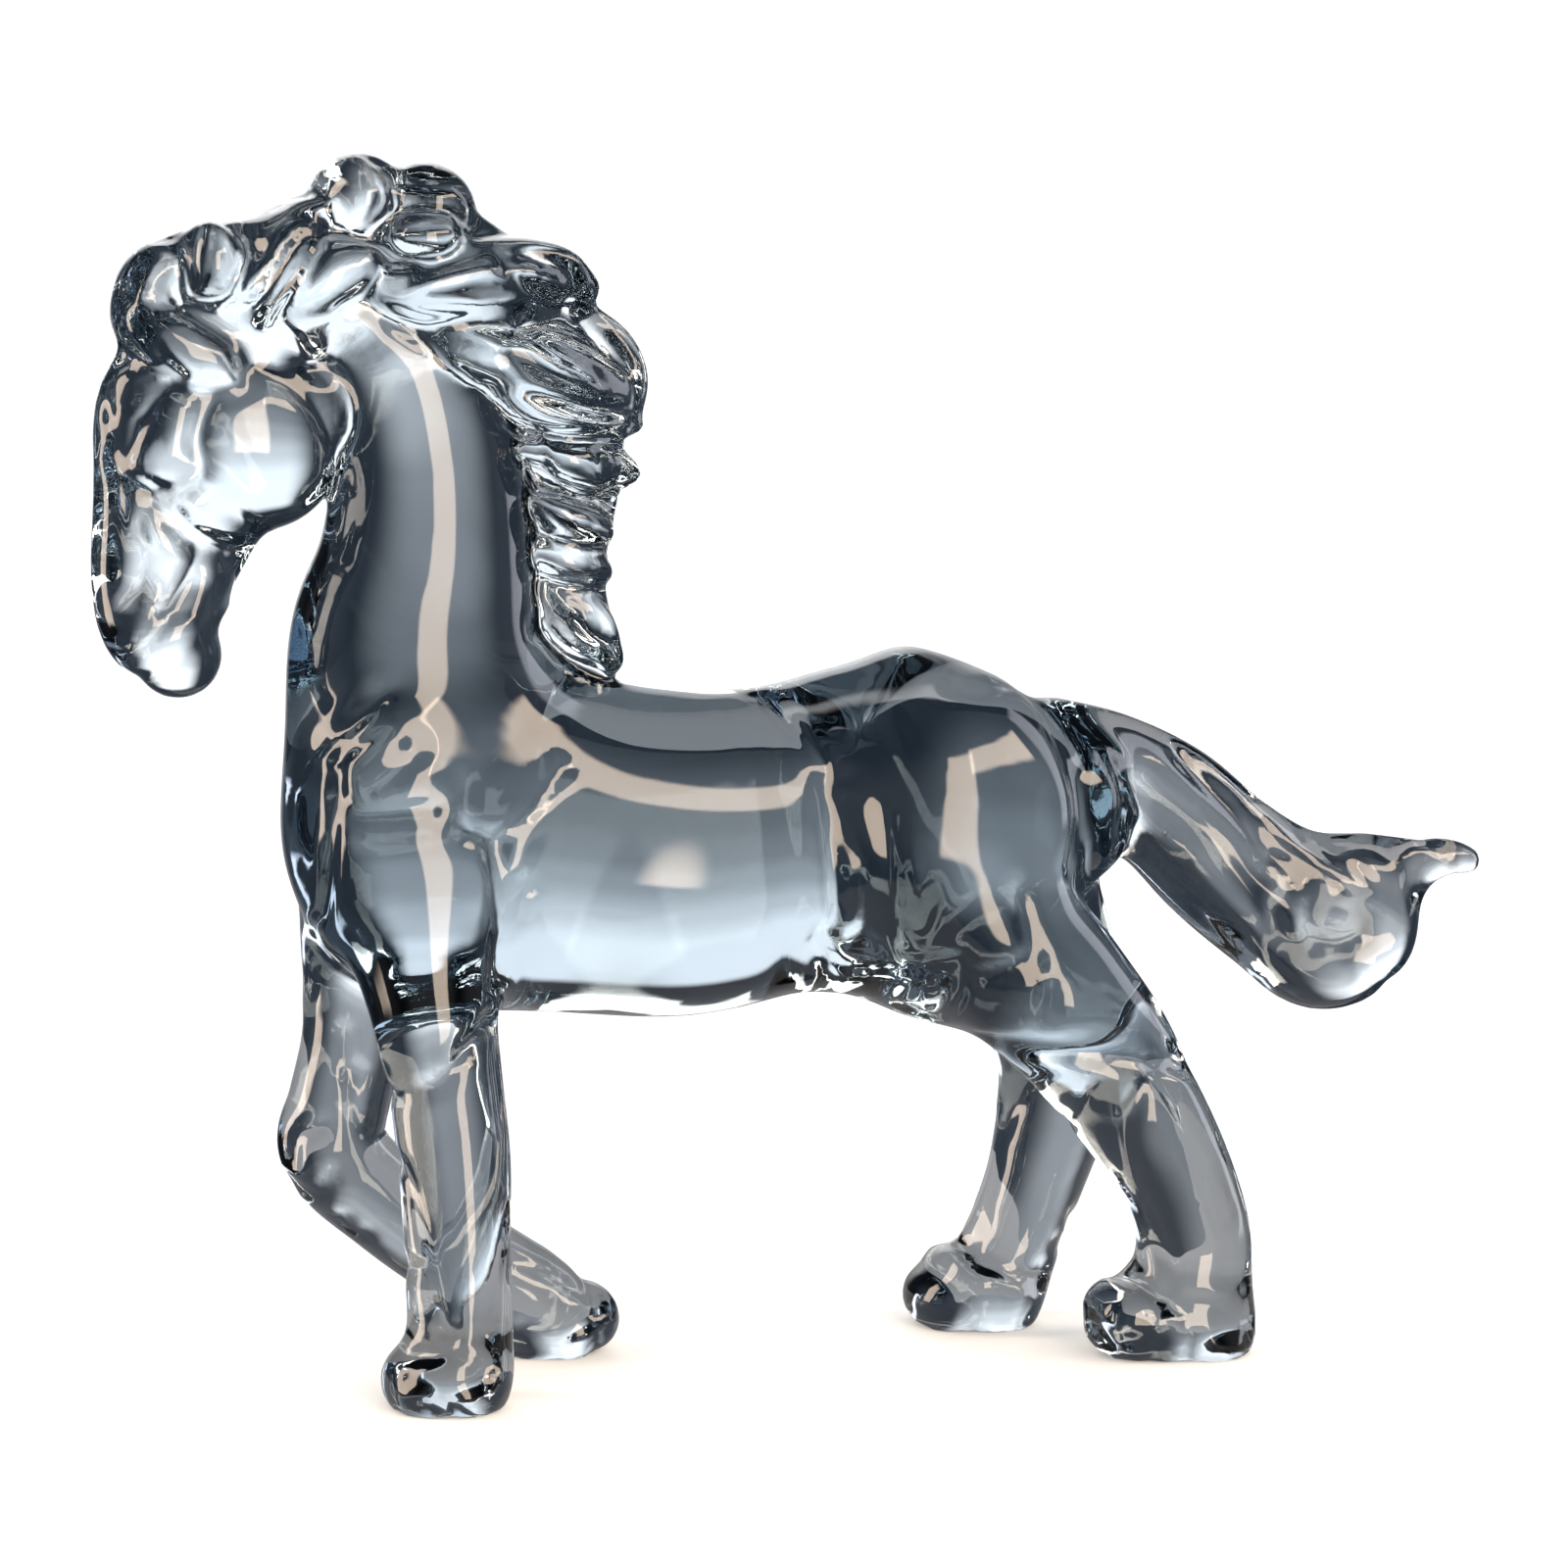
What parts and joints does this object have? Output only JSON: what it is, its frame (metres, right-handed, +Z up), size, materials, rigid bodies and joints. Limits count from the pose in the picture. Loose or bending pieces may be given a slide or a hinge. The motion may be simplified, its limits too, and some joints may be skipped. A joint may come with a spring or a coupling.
{
  "type": "glass horse statue",
  "caption": "Walking horse of solid smoky blue-grey glass, its head bowed, its mane in thick locks and its tail curled up at the tip. It stands on its own feet.",
  "frame": {"origin": "middle of the bounding box's bottom, on the plane that the soles stand on", "axes": "+X runs from the head to the tail, +Z is up, and -Y is the near flank, which the picture shows"},
  "size_m": [0.2804, 0.0726, 0.2345],
  "materials": {
    "smoky_glass": "clear glass tinted smoky blue-grey, fire-polished"
  },
  "bodies": {
    "root": {"glass_horse": "smoky_glass"}
  },
  "joints": []
}
